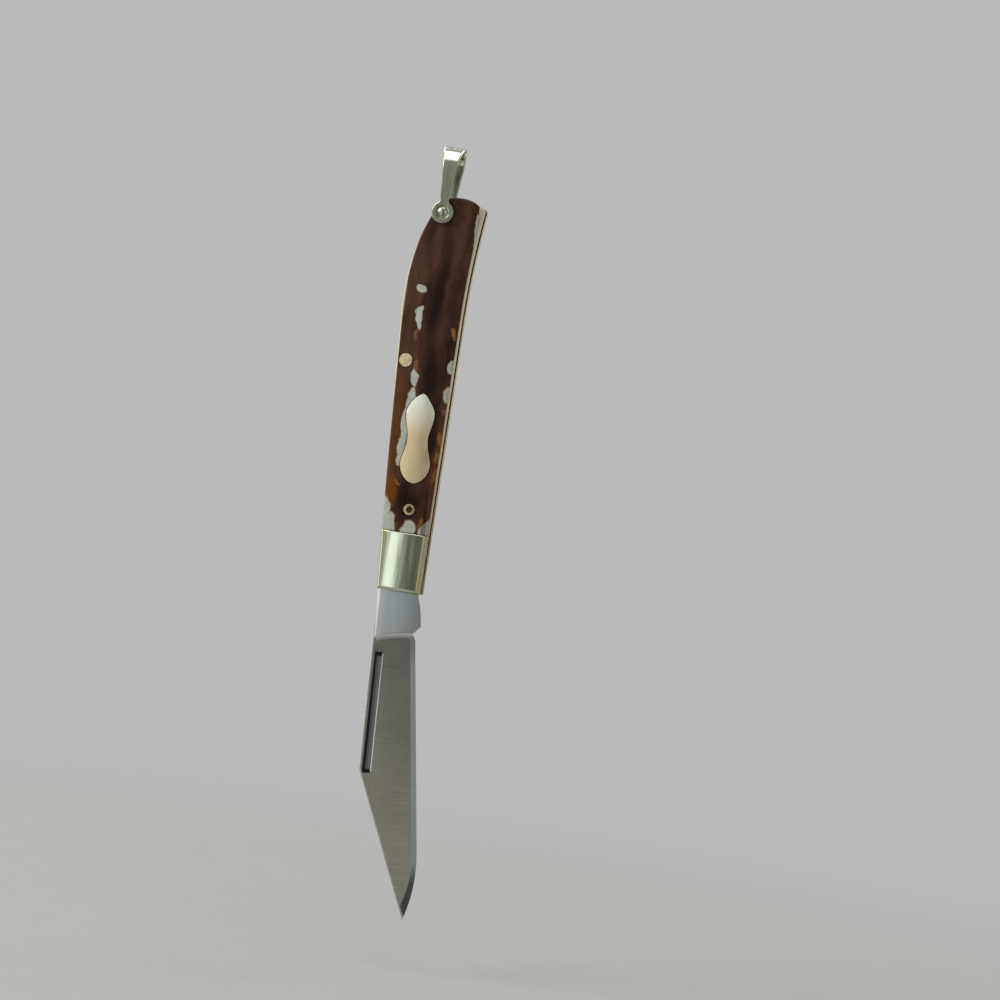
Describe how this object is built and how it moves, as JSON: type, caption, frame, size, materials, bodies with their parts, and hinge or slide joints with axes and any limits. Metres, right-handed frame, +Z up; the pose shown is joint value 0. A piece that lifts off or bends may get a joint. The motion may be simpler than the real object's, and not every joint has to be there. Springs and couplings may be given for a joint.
{
  "type": "folding pocket knife",
  "caption": "Slip-joint folding pocket knife: a clip-point blade with a long nail pull, metal bolsters, stag-look scales with a bare shield inlay, and a swinging bail to hang it by.",
  "frame": {"origin": "inside of the bail's crown, where a ring or lanyard pulls, with the knife open and the bail standing straight up", "axes": "+Z up along the handle from the blade to the bail, +X to the belly where the blade folds in, +Y to the rear face; the front face with the shield looks along -Y"},
  "size_m": [0.023, 0.0116, 0.1728],
  "materials": {
    "blade_steel": "satin, ground across",
    "spring_steel": "satin",
    "liner_brass": "rolled",
    "nickel_silver": "polished nickel silver",
    "shield_silver": "satin nickel silver",
    "bail_silver": "bright nickel silver",
    "pin_brass": "polished",
    "stag_scale": "moulded stag look"
  },
  "bodies": {
    "handle": {"backspring": "spring_steel", "front_liner": "liner_brass", "rear_liner": "liner_brass", "front_bolster": "nickel_silver", "rear_bolster": "nickel_silver", "front_scale": "stag_scale", "rear_scale": "stag_scale", "shield": "shield_silver", "pivot_pin": "nickel_silver", "centre_pin": "pin_brass", "bail_pin": "bail_silver", "front_scale_rivet": "pin_brass", "rear_scale_rivet": "pin_brass"},
    "blade": {"blade": "blade_steel"},
    "bail": {"bail": "bail_silver"}
  },
  "joints": [
    {"name": "blade_fold", "type": "hinge", "parent": "handle", "child": "blade", "pos_m": [0.0037, 0, -0.0928], "axis": [0, -1, 0], "range_deg": [0, 171.63], "deforming": ["backspring"]},
    {"name": "bail_swing", "type": "hinge", "parent": "handle", "child": "bail", "pos_m": [0, 0, -0.0142], "axis": [0, 1, 0], "range_deg": [-135, 125]}
  ]
}
